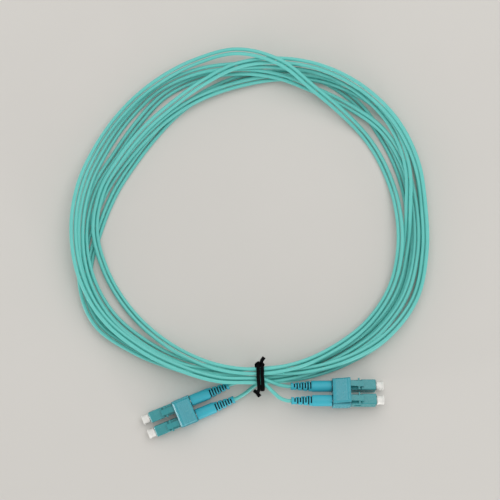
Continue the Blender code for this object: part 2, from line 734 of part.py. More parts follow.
def smooth_between(before, first, last, after, spacing):
    """Points of a smooth curve from the first point to the last, whose ends lean on the ones beyond."""
    points = np.array([before, first, last, after], float)
    at = np.concatenate([[0.0], np.cumsum(np.linalg.norm(np.diff(points, axis=0), axis=1))])
    count = max(2, round((at[2] - at[1]) / spacing))
    where = np.linspace(at[1], at[2], count + 1)
    smooth = np.column_stack([eased(at, points[:, axis], where) for axis in range(3)])
    return [Vector(point) for point in smooth]


def laid_over(points, coils):
    """Lifts the inner points of a line off the coil's turns that it crosses."""
    laid = [point.copy() for point in points]
    for point in laid[1:-1]:
        for coil in coils:
            for start, end in zip(coil[:-2], coil[1:-1]):
                run = (end - start).to_2d()
                share = min(max((point - start).to_2d().dot(run) / run.length_squared, 0.0), 1.0)
                under = start.lerp(end, share)
                apart = (point - under).to_2d().length
                if apart < TURN_PITCH:
                    point.z = max(point.z, under.z + math.sqrt(TURN_PITCH**2 - apart**2))
    return laid


def least_gap(first, second):
    """The least gap between two strands of the cord, or of one to itself, measured on points along them."""
    shares = np.linspace(0, 1, GAP_READINGS, endpoint=False)[:, None]
    lines = []
    for strand in (first, second):
        line = np.array(strand)
        lines.append(np.concatenate([a + (b - a) * shares for a, b in zip(line, line[1:])]))
    skip = 3 * GAP_READINGS if first is second else 0
    least = (np.inf, None)
    for index, point in enumerate(lines[0]):
        apart = np.linalg.norm(lines[1] - point, axis=1)
        if skip:
            apart[max(0, index - skip) : index + skip] = np.inf
        least = min(least, (apart.min() - CORD_DIAMETER, index // GAP_READINGS))
    return least


# ---------------------------------------------------------------- the assembly


def duplex_end(end, position, heading, roll, pitch):
    """A duplex clip with its trigger, on an empty at the plugs' front faces."""
    frame = new_empty(f"Frame_{end}", None, position, (-roll, pitch, heading))
    clip = place(f"Duplex_Clip_{end}", SHAPES["clip"], "Teal Housing", frame)
    bevel(clip, CLIP_BEVEL)
    boolean(clip, SHAPES["pockets"])
    boolean(clip, SHAPES["groove"])
    trigger_x, trigger_z = TRIGGER_HINGE
    trigger = place(f"Trigger_{end}", SHAPES["trigger"], "Teal Housing", frame, (trigger_x, 0.0, trigger_z))
    bevel(trigger, TRIGGER_BEVEL)
    return frame


def plug(label, frame, side):
    """One simplex plug of a duplex end. Returns the empty on its axis."""
    axis = new_empty(f"Frame_{label}", frame, (0.0, side * PLUG_PITCH / 2, 0.0))
    housing = place(f"Plug_Housing_{label}", SHAPES["housing"], "Teal Housing", axis)
    bevel(housing, HOUSING_CHAMFER)
    boolean(housing, SHAPES["bore"])
    boolean(housing, SHAPES["side grooves"])
    latch_x, latch_z = LATCH_HINGE
    latch = place(f"Latch_Lever_{label}", SHAPES["latch"], "Teal Housing", axis, (latch_x, 0.0, latch_z))
    boolean(latch, SHAPES["ears"], "UNION")
    place(f"Ferrule_{label}", SHAPES["ferrule"], "Zirconia", axis, rotation=FACING_FORWARD)
    place(f"Ferrule_Flange_{label}", SHAPES["flange"], "Bright Steel", axis, rotation=FACING_FORWARD)
    tube(f"Ferrule_Spring_{label}", spring_points(), SPRING_WIRE, "Bright Steel", axis)
    place(f"Rear_Body_{label}", SHAPES["rear"], "Bright Steel", axis, rotation=FACING_FORWARD)
    place(f"Crimp_Sleeve_{label}", SHAPES["sleeve"], "Bright Steel", axis, rotation=FACING_FORWARD)
    fibre = [(FIBRE_FRONT, 0.0, 0.0), (JACKET_FRONT + CLEARANCE, 0.0, 0.0)]
    tube(f"Buffered_Fibre_{label}", fibre, 2 * FIBRE_RADIUS, "Clear Buffer", axis)
    boot = place(f"Boot_{label}", SHAPES["boot"], "Boot Rubber", axis, rotation=FACING_FORWARD)
    boolean(boot, SHAPES["slots"])
    place(f"Dust_Cap_{label}", SHAPES["cap"], "White Cap", axis, rotation=FACING_FORWARD)
    return axis


def on_axis(axis, x):
    return axis.matrix_world @ Vector((x, 0.0, 0.0))


def cord(plugs):
    """Both strands, from inside the left boots through the coil to inside the right boots."""
    bpy.context.view_layer.update()
    middle = (BOOT_SHOULDER + BOOT_END) / 2
    thick, thin = BOOT_TAIL_RADII
    runs = (
        (BOOT_FRONT, BOOT_SHOULDER, BOOT_RADIUS),
        (BOOT_SHOULDER, middle, thick),
        (middle, BOOT_END, (thick + thin) / 2),
    )
    boots = []
    for axis in plugs.values():
        for front, back, radius in runs:
            boots.append((np.array(on_axis(axis, front)), np.array(on_axis(axis, back)), radius))
    stations = (JACKET_FRONT, BOOT_END, BOOT_END - CORD_DIAMETER)
    strands = []
    coils = coil_strands(boots)
    for letter, coil in zip("AB", coils):
        enter = [on_axis(plugs["Left_" + letter], x) for x in stations]
        leave = [on_axis(plugs["Right_" + letter], x) for x in reversed(stations)]
        points = enter[:2] + smooth_between(enter[1], enter[2], coil[0], coil[1], LEG_SPACING)
        last = laid_over(smooth_between(coil[-2], coil[-1], leave[0], leave[1], LEG_SPACING), coils)
        points += coil[1:-1] + last + leave[1:]
        strands.append(points)
        tube(f"Zip_Cord_Strand_{letter}", points, CORD_DIAMETER, "Aqua Jacket")
    return strands


def held_in_tie(strands, outward, along):
    """Where the strands' centres lie across the tie, as (outward, up) vectors, over its whole width."""
    reach = (TIE_TURN_PITCH + TIE_WIDTH + CORD_DIAMETER) / 2
    found = []
    for strand in strands:
        for start, end in zip(strand, strand[1:]):
            for share in np.linspace(0.0, 1.0, 2 * len(SHARES)):
                point = start.lerp(end, share) - COIL_CENTRE
                if abs(point.dot(along)) < reach and point.dot(outward) > 0:
                    found.append(Vector((point.dot(outward), point.z)))
    return found


def tie(strands):
    """A ribbon drawn round the gathered strands: it crosses their top twice, and its two ends stand off."""
    bearing = math.radians(TIE_BEARING)
    outward = Vector((math.sin(bearing), -math.cos(bearing), 0.0))
    along = Vector((math.cos(bearing), math.sin(bearing), 0.0))
    held = held_in_tie(strands, outward, along)
    clear = (CORD_DIAMETER + TIE_THICKNESS) / 2 + CLEARANCE
    points = []
    steps = round(TIE_TURNS * TIE_POINTS_PER_TURN)
    for step in range(steps + 1):
        turn = 2 * math.pi * step / TIE_POINTS_PER_TURN
        facing = Vector((math.cos(turn), math.sin(turn)))
        shift = TIE_TURN_PITCH * (step - steps / 2) / TIE_POINTS_PER_TURN
        across, up = max(held, key=facing.dot) + clear * facing
        points.append(Vector((across, up, -shift)))
    first, last = points[0], points[-1]
    points.insert(0, first + Vector((TIE_END / 2, -TIE_END / 3, -TIE_END / 4)))
    points.insert(0, first + Vector((TIE_END, -TIE_END / 3, -TIE_END)))
    points.append(last + Vector((-TIE_END / 2, -TIE_END / 3, -TIE_END / 4)))
    points.append(last + Vector((-TIE_END, -TIE_END / 3, -TIE_END)))
    ribbon = tube("Tie_Wrap", points, TIE_THICKNESS, "Black Tie")
    ribbon.data.extrude = (TIE_WIDTH - TIE_THICKNESS) / 2
    ribbon.data.twist_mode = "Z_UP"
    turned_to_tie = Matrix((outward, (0, 0, 1), -along)).transposed().to_4x4()
    ribbon.matrix_basis = Matrix.Translation(COIL_CENTRE) @ turned_to_tie


clear_scene()
PARTS = new_collection("Fiber Optic Patch Cord")
CUTTERS = new_collection("Cutters")
LOOKS = {name: new_material(name) for name in MATERIALS}
latch_arm, latch_ears = latch_meshes()
SHAPES = {
    "housing": housing_mesh(),
    "bore": housing_bore_mesh(),
    "side grooves": side_grooves_mesh(),
    "ferrule": ferrule_mesh(),
    "flange": flange_mesh(),
    "rear": rear_body_mesh(),
    "sleeve": sleeve_mesh(),
    "boot": boot_mesh(),
    "slots": boot_slots_mesh(),
    "cap": cap_mesh(),
    "latch": latch_arm,
    "ears": latch_ears,
    "trigger": trigger_mesh(),
    "clip": clip_mesh(),
    "pockets": clip_pockets_mesh(),
    "groove": clip_groove_mesh(),
}
left = duplex_end("Left", LEFT_PLACE, LEFT_HEADING, LEFT_ROLL, LEFT_PITCH)
right = duplex_end("Right", RIGHT_PLACE, RIGHT_HEADING, RIGHT_ROLL, RIGHT_PITCH)
# Strand A is the inner one at the tie, so it takes the plug nearer the coil at each end.
PLUGS = {
    "Left_A": plug("Left_A", left, -1),
    "Left_B": plug("Left_B", left, 1),
    "Right_A": plug("Right_A", right, 1),
    "Right_B": plug("Right_B", right, -1),
}
strand_a, strand_b = cord(PLUGS)
tie((strand_a, strand_b))
PAIRS = {
    "strand A to itself": (strand_a, strand_a),
    "strand B to itself": (strand_b, strand_b),
    "strand A to strand B": (strand_a, strand_b),
}
for label, pair in PAIRS.items():
    gap, index = least_gap(*pair)
    print(f"{label}: least gap {gap / MM:.2f} mm near point {index}")
length = sum((b - a).length for a, b in zip(strand_a, strand_a[1:]))
print(f"strand A: {length:.3f} m, {len(strand_a)} points")
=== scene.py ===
"""Dresses the duplex fiber optic patch cord: jackets, plugs, clips, boots, caps and tie, on a pale table."""

import math

import bmesh
import bpy
import numpy as np
from mathutils import Euler, Matrix, Vector


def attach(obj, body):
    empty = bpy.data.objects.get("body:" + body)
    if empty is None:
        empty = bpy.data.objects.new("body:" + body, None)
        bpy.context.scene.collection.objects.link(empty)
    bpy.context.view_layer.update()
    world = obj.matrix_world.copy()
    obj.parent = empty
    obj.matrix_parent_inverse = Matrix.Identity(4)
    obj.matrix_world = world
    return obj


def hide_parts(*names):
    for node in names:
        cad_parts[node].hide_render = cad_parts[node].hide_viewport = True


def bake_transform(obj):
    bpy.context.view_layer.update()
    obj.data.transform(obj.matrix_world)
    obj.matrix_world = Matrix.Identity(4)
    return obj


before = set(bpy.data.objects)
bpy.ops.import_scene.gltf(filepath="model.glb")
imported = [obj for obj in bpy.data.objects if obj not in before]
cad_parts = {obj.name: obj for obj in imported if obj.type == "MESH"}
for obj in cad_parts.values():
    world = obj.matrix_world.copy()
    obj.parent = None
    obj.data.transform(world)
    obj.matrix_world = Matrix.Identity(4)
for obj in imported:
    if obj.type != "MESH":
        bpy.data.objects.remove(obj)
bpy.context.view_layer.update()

MM = 0.001
CLEARANCE = 0.3 * MM  # between pieces that touch

# The photograph looks straight down, with the connectors at the bottom of the picture.
VIEW_CENTRE = (-5.2 * MM, 65.55 * MM)
VIEW_WIDTH = 208.5 * MM
CAMERA_HEIGHT = 0.9
SENSOR_WIDTH = 36.0

# Where each duplex end lies: front face centre, then roll, pitch and heading.
END_FRAMES = {
    "Left": ((-45.6 * MM, -7.05 * MM, 2.6 * MM), (0.0, 0.0, math.radians(202.3))),
    "Right": ((47.0 * MM, 6.15 * MM, 4.12 * MM), (math.radians(-22.0), math.radians(4.5), 0.0)),
}
PLUG_PITCH = 6.25 * MM
PLUG_SIDES = {"Left_A": -1, "Left_B": 1, "Right_A": 1, "Right_B": -1}

# Along each plug's axis, back from its front face.
JACKET_FRONT = -24.5 * MM
BOOT_END = -35.3 * MM
BOOT_RUNS = (  # front, back and radius of the barrel and of the two halves of the tail
    (-18.5 * MM, -26.6 * MM, 2.35 * MM),
    (-26.6 * MM, -30.95 * MM, 2.2 * MM),
    (-30.95 * MM, -35.3 * MM, 1.8 * MM),
)

# The zip cord: two jacketed strands side by side, and the coil that they make.
CORD_DIAMETER = 1.5 * MM
PAIR_PITCH = CORD_DIAMETER + CLEARANCE
TURN_PITCH = CORD_DIAMETER + 0.45 * MM  # least distance between the centrelines of two turns
LEG_SPACING = 2.5 * CORD_DIAMETER  # of the points between a boot and the coil
SHARES = np.linspace(0.0, 1.0, 5)  # where each segment is compared with those below it
SETTLING_STEPS = 60
DEEPEST_SAG = 1.5 * MM  # how far a point of the coil may hang below its two neighbours' mean
COIL_CENTRE = Vector((-5.4 * MM, 78.45 * MM, 0.0))
POINTS_PER_LOOP = 24
TIE_BEARING = 4.0  # degrees from the near side, turning to the right
TIE_RADIUS = 65.0 * MM
# Each loop's radius in mm at bearings of 30, 60, ... 330 degrees: it lies on the loops before it.
LOOP_BEARINGS = tuple(range(30, 360, 30))
LOOPS = (
    (67.1, 70.1, 66.5, 64.9, 65.7, 59.5, 53.9, 52.9, 60.8, 74.6, 68.7),
    (71.0, 76.4, 72.3, 72.9, 65.8, 57.0, 54.1, 55.8, 65.1, 77.2, 69.3),
    (68.8, 72.1, 69.1, 66.9, 60.2, 61.0, 62.6, 61.3, 68.1, 70.0, 65.6),
    (65.1, 67.3, 65.6, 70.4, 68.4, 63.5, 65.9, 65.9, 69.7, 71.9, 67.9),
    (69.4, 76.1, 72.4, 72.8, 69.8, 64.5, 57.4, 58.1, 64.1, 63.0, 62.1),
    (64.0, 65.6, 62.1, 59.5, 59.3, 68.8, 68.3, 69.3, 72.7, 73.3, 68.4),
)
# Each pair's roll in degrees, 0 side by side and 90 one above the other, at 60, 120, ... 300 degrees.
ROLL_BEARINGS = tuple(range(60, 360, 60))
ROLLS = (
    (40, 20, 15, 15, 20),
    (25, 20, 10, 15, 20),
    (30, 30, 10, 10, 10),
    (20, 20, 0, 15, 20),
    (20, 25, 0, 20, 30),
    (25, 20, 0, 20, 25),
)
# Where each of the seven passes through the tie lies across it, in turn pitches from its middle.
TIE_SLOTS = (1.0, 1.0, 1.0, -1.0, -1.0, -1.0, 1.0)

# The spring behind each ferrule's flange, along the plug's axis.
SPRING_FRONT = -8.15 * MM
SPRING_REAR = -12.85 * MM
SPRING_RADIUS = 1.2 * MM
SPRING_WIRE = 0.3 * MM
SPRING_CURLS = 4
SPRING_STEPS = 96

# The tie: a round-edged ribbon drawn round the strands in two turns.
TIE_WIDTH = 1.55 * MM
TIE_THICKNESS = 0.8 * MM
TIE_LIFT = TIE_THICKNESS + CLEARANCE + 0.2 * MM  # of the strands, so that the ribbon passes under them
TIE_TURNS = 1.5
TIE_TURN_PITCH = TIE_WIDTH + 0.1 * MM
TIE_POINTS_PER_TURN = 24
TIE_REACH = 2.5 * MM  # of the strands that it gathers, to each side of its middle
TIE_SAMPLES = 10  # of each segment of a strand that it may gather
# Its spread ends in mm, each outward, up and to the left of the near or the far end of its turns.
NEAR_TAIL = ((2.5, -0.9, -0.4), (1.2, -0.8, 0.4))
CROSS_BAR = ((1.4, -0.8, 0.2), (0.6, -0.7, 1.0), (-0.2, -0.6, 1.9))
FAR_TAIL = ((-0.8, -0.3, 0.5), (-1.6, -0.5, 0.3), (-3.0, -0.8, -0.8))
HOOK = ((-0.7, 0.0, 0.5), (-0.9, 0.2, 1.4), (-0.4, 0.0, 2.4), (0.7, -0.4, 3.0))


# ---------------------------------------------------------------- making meshes

TURN_STEPS = 48  # round a turned piece


def finished(name, bm):
    """The bmesh as a mesh with outward faces, and its doubles merged."""
    bmesh.ops.remove_doubles(bm, verts=bm.verts, dist=0.0005 * MM)
    bmesh.ops.recalc_face_normals(bm, faces=bm.faces)
    mesh = bpy.data.meshes.new(name)
    bm.to_mesh(mesh)
    bm.free()
    return mesh


def evaluated(name, guide):
    """The mesh that a guide object shows with its modifiers on. The guide is removed."""
    bpy.context.scene.collection.objects.link(guide)
    bpy.context.view_layer.update()
    mesh = bpy.data.meshes.new_from_object(guide.evaluated_get(bpy.context.evaluated_depsgraph_get()))
    mesh.name = name
    bpy.data.objects.remove(guide)
    return mesh


def combined(name, mesh, tools, operation="DIFFERENCE"):
    """The mesh with each tool cut from it, or joined to it."""
    guide = bpy.data.objects.new(name, mesh)
    helpers = []
    for number, tool in enumerate(tools):
        helper = bpy.data.objects.new(f"{name}_Tool_{number}", tool)
        bpy.context.scene.collection.objects.link(helper)
        helpers.append(helper)
        modifier = guide.modifiers.new("Shape", "BOOLEAN")
        modifier.operation = operation
        modifier.object = helper
        modifier.solver = "EXACT"
    made = evaluated(name, guide)
    for helper in helpers:
        bpy.data.objects.remove(helper)
    return made


def rounded(name, mesh, width, angle=30):
    """The mesh with every sharp edge rolled over, as a mould leaves it. The width is in mm."""
    guide = bpy.data.objects.new(name, mesh)
    modifier = guide.modifiers.new("Rolled Edges", "BEVEL")
    modifier.width = width * MM
    modifier.segments = 2
    modifier.limit_method = "ANGLE"
    modifier.angle_limit = math.radians(angle)
    modifier.miter_outer = "MITER_ARC"
    modifier.harden_normals = True
    mesh.shade_smooth()
    return evaluated(name, guide)


def beveled(bm, edges, width, segments=1):
    """Bevels these edges by a width in mm."""
    shape = {"offset": width * MM, "segments": segments, "profile": 0.5}
    bmesh.ops.bevel(bm, geom=edges, affect="EDGES", material=-1, **shape)


def block(bm, low, high):
    """A box between two corners in mm, added to the bmesh."""
    low, high = Vector(low) * MM, Vector(high) * MM
    matrix = Matrix.LocRotScale((low + high) / 2, None, high - low)
    bmesh.ops.create_cube(bm, size=1.0, matrix=matrix)


def blocks(name, corners, roll=0.0):
    """Boxes that don't meet, with their edges rolled over, as one tool."""
    bm = bmesh.new()
    for low, high in corners:
        block(bm, low, high)
    if roll:
        beveled(bm, bm.edges, roll, segments=3)
    return finished(name, bm)


def along_x(edges, least=0.5):
    """The edges that run more than this far along x, in mm."""
    return [edge for edge in edges if abs(edge.verts[0].co.x - edge.verts[1].co.x) > least * MM]


def end_face(bm, side):
    """The face furthest along x, on the front side 1 or the back side -1."""
    return max(bm.faces, key=lambda face: side * face.calc_center_median().x)


def step_out(bm, side, inset, length):
    """Draws a smaller stub out of the front or the back face, in mm."""
    face = end_face(bm, side)
    bmesh.ops.inset_individual(bm, faces=[face], thickness=inset * MM, use_even_offset=True)
    stub = bmesh.ops.extrude_discrete_faces(bm, faces=[face])["faces"][0]
    bmesh.ops.translate(bm, vec=(side * length * MM, 0.0, 0.0), verts=stub.verts)


def turned(name, profile, closed=True):
    """A solid turned about +X from (x, radius) points in mm. An open profile starts and ends on the axis."""
    bm = bmesh.new()
    verts = [bm.verts.new((x * MM, 0.0, radius * MM)) for x, radius in profile]
    edges = [bm.edges.new(pair) for pair in zip(verts, verts[1:])]
    if closed:
        edges.append(bm.edges.new((verts[-1], verts[0])))
    axis, centre, full = (1.0, 0.0, 0.0), (0.0, 0.0, 0.0), 2 * math.pi
    geom = verts + edges
    bmesh.ops.spin(bm, geom=geom, axis=axis, cent=centre, steps=TURN_STEPS, angle=full, use_merge=True)
    return finished(name, bm)


def plate(name, outline, width):
    """A plate of this (x, z) outline in mm, square to y and centred on it."""
    bm = bmesh.new()
    verts = [bm.verts.new((x * MM, -width / 2 * MM, z * MM)) for x, z in outline]
    face = bm.faces.new(verts)
    side = bmesh.ops.extrude_face_region(bm, geom=[face])
    moved = [item for item in side["geom"] if isinstance(item, bmesh.types.BMVert)]
    bmesh.ops.translate(bm, vec=(0.0, width * MM, 0.0), verts=moved)
    return finished(name, bm)


# ---------------------------------------------------------------- placing pieces


def end_matrix(end):
    """Where a duplex end lies, on the line midway between its plugs."""
    place, turn = END_FRAMES[end]
    return Matrix.Translation(place) @ Euler(turn).to_matrix().to_4x4()


def plug_matrix(label):
    """Where a plug lies: its front face at the origin and its axis along x."""
    end = label.split("_")[0]
    return end_matrix(end) @ Matrix.Translation((0.0, PLUG_SIDES[label] * PLUG_PITCH / 2, 0.0))


def on_axis(label, x):
    """The point of a plug's axis this far from its front face."""
    return plug_matrix(label) @ Vector((x, 0.0, 0.0))


def placed(name, mesh, matrix, look):
    """An object at the origin whose mesh is put in place."""
    data = mesh.copy()
    data.transform(matrix)
    data.materials.clear()
    data.materials.append(look)
    made = bpy.data.objects.new(name, data)
    bpy.context.scene.collection.objects.link(made)
    return made


def piece(name, mesh, matrix, body, slot, look, *stands_for):
    """A placed object that rides on a body of the CAD."""
    made = placed(name, mesh, matrix, look)
    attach(made, body)
    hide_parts(*stands_for)
    return made


# ---------------------------------------------------------------- finishes


def socket(group, name, kind, value=None, out=False):
    """Adds an input or an output to the group."""
    made = group.interface.new_socket(name, in_out="OUTPUT" if out else "INPUT", socket_type=kind)
    if value is not None:
        made.default_value = value


def varied(group, vector, scale, detail):
    """Noise about nought over the surface: minus a half to a half."""
    noise = group.nodes.new("ShaderNodeTexNoise")
    noise.inputs["Detail"].default_value = detail
    group.links.new(vector, noise.inputs["Vector"])
    if isinstance(scale, float):
        noise.inputs["Scale"].default_value = scale
    else:
        group.links.new(scale, noise.inputs["Scale"])
    centred = group.nodes.new("ShaderNodeMath")
    centred.operation = "SUBTRACT"
    centred.inputs[1].default_value = 0.5
    group.links.new(noise.outputs["Fac"], centred.inputs[0])
    return centred.outputs[0]


def moulded_surface():
    """Colour, roughness and normal of a moulded surface: cloudy tone, fine grain and light handling wear."""
    group = bpy.data.node_groups.new("Moulded Surface", "ShaderNodeTree")
    socket(group, "Colour", "NodeSocketColor", (0.5, 0.5, 0.5, 1.0))
    socket(group, "Tone Spread", "NodeSocketFloat", 0.1)
    socket(group, "Tone Size", "NodeSocketFloat", 150.0)
    socket(group, "Roughness", "NodeSocketFloat", 0.4)
    socket(group, "Roughness Spread", "NodeSocketFloat", 0.1)
    socket(group, "Grain Size", "NodeSocketFloat", 6000.0)
    socket(group, "Grain Height", "NodeSocketFloat", 0.2)
    socket(group, "Colour", "NodeSocketColor", out=True)
    socket(group, "Roughness", "NodeSocketFloat", out=True)
    socket(group, "Normal", "NodeSocketVector", out=True)
    nodes, link = group.nodes, group.links.new
    given = nodes.new("NodeGroupInput")
    result = nodes.new("NodeGroupOutput")
    where = nodes.new("ShaderNodeTexCoord").outputs["Object"]

    tone = nodes.new("ShaderNodeMath")
    tone.operation = "MULTIPLY_ADD"
    tone.inputs[2].default_value = 1.0
    link(varied(group, where, given.outputs["Tone Size"], 4.0), tone.inputs[0])
    link(given.outputs["Tone Spread"], tone.inputs[1])
    shade = nodes.new("ShaderNodeHueSaturation")
    link(given.outputs["Colour"], shade.inputs["Color"])
    link(tone.outputs[0], shade.inputs["Value"])
    link(shade.outputs["Color"], result.inputs["Colour"])

    rough = nodes.new("ShaderNodeMath")
    rough.operation = "MULTIPLY_ADD"
    rough.use_clamp = True
    link(varied(group, where, 420.0, 6.0), rough.inputs[0])
    link(given.outputs["Roughness Spread"], rough.inputs[1])
    link(given.outputs["Roughness"], rough.inputs[2])
    link(rough.outputs[0], result.inputs["Roughness"])

    bump = nodes.new("ShaderNodeBump")
    bump.inputs["Distance"].default_value = 0.02 * MM
    link(varied(group, where, given.outputs["Grain Size"], 3.0), bump.inputs["Height"])
    link(given.outputs["Grain Height"], bump.inputs["Strength"])
    link(bump.outputs["Normal"], result.inputs["Normal"])
    return group


SURFACE = moulded_surface()


def finish(name, colour, roughness, metallic=0.0, specular=0.5, **values):
    """A Principled material whose colour, roughness and normal come from the moulded surface."""
    look = bpy.data.materials.new(name)
    look.use_nodes = True
    nodes, link = look.node_tree.nodes, look.node_tree.links.new
    shader = nodes["Principled BSDF"]
    surface = nodes.new("ShaderNodeGroup")
    surface.node_tree = SURFACE
    surface.inputs["Colour"].default_value = (*colour, 1.0)
    surface.inputs["Roughness"].default_value = roughness
    for key, value in values.items():
        surface.inputs[key.replace("_", " ").title()].default_value = value
    for output, slot in (("Colour", "Base Color"), ("Roughness", "Roughness"), ("Normal", "Normal")):
        link(surface.outputs[output], shader.inputs[slot])
    shader.inputs["Metallic"].default_value = metallic
    shader.inputs["Specular IOR Level"].default_value = specular
    return look


AQUA_JACKET = finish(
    "Aqua Jacket", (0.12, 0.52, 0.475), 0.4, specular=0.45,
    tone_spread=0.12, tone_size=60.0, grain_size=3500.0, grain_height=0.25,
)
BOOT_RUBBER = finish(
    "Boot Rubber", (0.037, 0.385, 0.485), 0.5, specular=0.35,
    tone_spread=0.1, tone_size=250.0, grain_height=0.3,
)
# Near-black: painted shade for the depths of the boot's slots, not a colour of the boot.
SLOT_SHADE_PAINT = finish("Painted Slot Shade", (0.003, 0.022, 0.03), 0.6, specular=0.15, tone_spread=0.1)
HOUSING_PLASTIC = finish(
    "Housing Plastic", (0.038, 0.265, 0.285), 0.27, specular=0.45,
    tone_spread=0.1, tone_size=220.0, grain_height=0.15,
)
CLIP_PLASTIC = finish(
    "Clip Plastic", (0.04, 0.305, 0.365), 0.27, specular=0.45,
    tone_spread=0.1, tone_size=220.0, grain_height=0.15,
)
CAP_PLASTIC = finish(
    "Cap Plastic", (0.72, 0.71, 0.68), 0.4, tone_spread=0.06, tone_size=400.0, grain_height=0.1
)
CERAMIC = finish("Ferrule Ceramic", (0.85, 0.85, 0.82), 0.15, tone_spread=0.03, grain_height=0.02)
STEEL = finish(
    "Turned Steel", (0.62, 0.62, 0.60), 0.28, metallic=1.0,
    tone_spread=0.1, roughness_spread=0.25, grain_height=0.1,
)
BUFFER = finish("Clear Buffer", (0.75, 0.72, 0.60), 0.3, tone_spread=0.05)
TIE_COAT = finish(
    "Tie Coating", (0.0015, 0.0015, 0.002), 0.7, specular=0.05,
    tone_spread=0.4, tone_size=900.0, grain_size=4000.0, grain_height=0.5,
)

for name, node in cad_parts.items():
    look = STEEL
    if name.startswith("Ferrule_") and not name.startswith(("Ferrule_Flange", "Ferrule_Spring")):
        look = CERAMIC
    if name.startswith("Buffered_Fibre"):
        look = BUFFER
    node.data.materials.clear()
    node.data.materials.append(look)


# ---------------------------------------------------------------- the camera


def camera():
    """Looks straight down at the picture's middle."""
    data = bpy.data.cameras.new("Camera")
    data.sensor_width = SENSOR_WIDTH
    data.lens = SENSOR_WIDTH * CAMERA_HEIGHT / VIEW_WIDTH
    data.clip_end = 10.0
    made = bpy.data.objects.new("Camera", data)
    made.location = (*VIEW_CENTRE, CAMERA_HEIGHT)
    bpy.context.scene.collection.objects.link(made)
    bpy.context.scene.camera = made


camera()


# ---------------------------------------------------------------- the cord's route


def eased(stations, values, at):
    """A smooth curve through the values: a cubic between each two, level with its neighbours' chord."""
    stations = np.array(stations, float)
    values = np.array(values, float)
    slopes = np.gradient(values, stations)
    index = np.clip(np.searchsorted(stations, at, side="right") - 1, 0, len(stations) - 2)
    width = stations[index + 1] - stations[index]
    t = (at - stations[index]) / width
    start = (2 * t**3 - 3 * t**2 + 1) * values[index] + (t**3 - 2 * t**2 + t) * width * slopes[index]
    end = (3 * t**2 - 2 * t**3) * values[index + 1] + (t**3 - t**2) * width * slopes[index + 1]
    return start + end


def coil_plan():
    """Radius and roll of the pair at each point, from the first pass through the tie to the last."""
    radius_at, radii, roll_at, rolls = [], [], [], []
    for number, (loop, roll) in enumerate(zip(LOOPS, ROLLS)):
        start = 360 * number
        radius_at += [start + TIE_BEARING] + [start + bearing for bearing in LOOP_BEARINGS]
        radii += [TIE_RADIUS + TIE_SLOTS[number] * TURN_PITCH] + [value * MM for value in loop]
        roll_at += [start + TIE_BEARING] + [start + bearing for bearing in ROLL_BEARINGS]
        rolls += [0.0] + [math.radians(value) for value in roll]
    last = 360 * len(LOOPS) + TIE_BEARING
    radius_at.append(last)
    radii.append(TIE_RADIUS + TIE_SLOTS[-1] * TURN_PITCH)
    roll_at.append(last)
    rolls.append(0.0)
    bearings = np.linspace(TIE_BEARING, last, len(LOOPS) * POINTS_PER_LOOP + 1)
    return eased(radius_at, radii, bearings), eased(roll_at, rolls, bearings)


def along_segments(line, share):
    """The values part of the way along each segment of a line."""
    return (1 - share) * line[:-1] + share * line[1:]


def shortfalls(levels, pairs, boots):
    """How far each segment's pair lies too low at each share, over earlier turns and over the boots."""
    across, above, radii, outward = pairs
    for share in SHARES:
        need = np.zeros(len(radii) - 1)
        for mine in (0, 1):
            reach = along_segments(radii + across[mine], share)
            own_rise = along_segments(above[mine], share)
            for shift in range(POINTS_PER_LOOP, len(radii) - 1, POINTS_PER_LOOP):
                for other in (0, 1):
                    apart = reach[shift:] - along_segments(radii + across[other], share)[:-shift]
                    below = along_segments(levels + above[other], share)[:-shift]
                    rise = np.sqrt(np.clip(TURN_PITCH**2 - apart**2, 0.0, None))
                    level = np.where(rise > 0, below + rise - own_rise[shift:], 0.0)
                    need[shift:] = np.maximum(need[shift:], level)
            points = along_segments(outward * (radii + across[mine])[:, None], share) + COIL_CENTRE.to_2d()
            for start, end, radius in boots:
                run = (end - start)[:2]
                where = np.clip((points - start[:2]) @ run / (run @ run), 0.0, 1.0)
                apart = np.linalg.norm(points - start[:2] - where[:, None] * run, axis=1)
                rise = np.sqrt(np.clip((radius + CORD_DIAMETER / 2 + CLEARANCE) ** 2 - apart**2, 0.0, None))
                need = np.maximum(need, np.where(rise > 0, start[2] + rise - own_rise, 0.0))
        yield share, np.clip(need - along_segments(levels, share), 0.0, None)


def settled(levels, pairs, boots):
    """Lifts each turn off the turns before it, a little at a time, until none is too low."""
    for _ in range(SETTLING_STEPS):
        lift = np.zeros(len(levels))
        for share, short in shortfalls(levels, pairs, boots):
            weight = (1 - share) ** 2 + share**2
            lift[:-1] = np.maximum(lift[:-1], short * (1 - share) / weight)
            lift[1:] = np.maximum(lift[1:], short * share / weight)
        levels = levels + lift
        levels[1:-1] = np.maximum(levels[1:-1], (levels[:-2] + levels[2:]) / 2 - DEEPEST_SAG)
    return levels


def coil_strands(boots):
    """The centre points of the inner and the outer strand round the coil."""
    radii, rolls = coil_plan()
    across = np.stack([-np.cos(rolls), np.cos(rolls)]) * PAIR_PITCH / 2
    above = np.stack([-np.sin(rolls), np.sin(rolls)]) * PAIR_PITCH / 2
    bearings = np.radians(TIE_BEARING + np.arange(len(radii)) * 360 / POINTS_PER_LOOP)
    outward = np.stack([np.sin(bearings), -np.cos(bearings)], axis=1)
    in_tie = np.arange(len(radii)) % POINTS_PER_LOOP == 0
    floor = CORD_DIAMETER / 2 + above[1] + np.where(in_tie, TIE_LIFT, 0.0)
    levels = settled(floor, (across, above, radii, outward), boots)
    strands = []
    for side in (0, 1):
        flat = outward * (radii + across[side])[:, None] + COIL_CENTRE.to_2d()
        strands.append([Vector(point) for point in np.column_stack([flat, levels + above[side]])])
    return strands


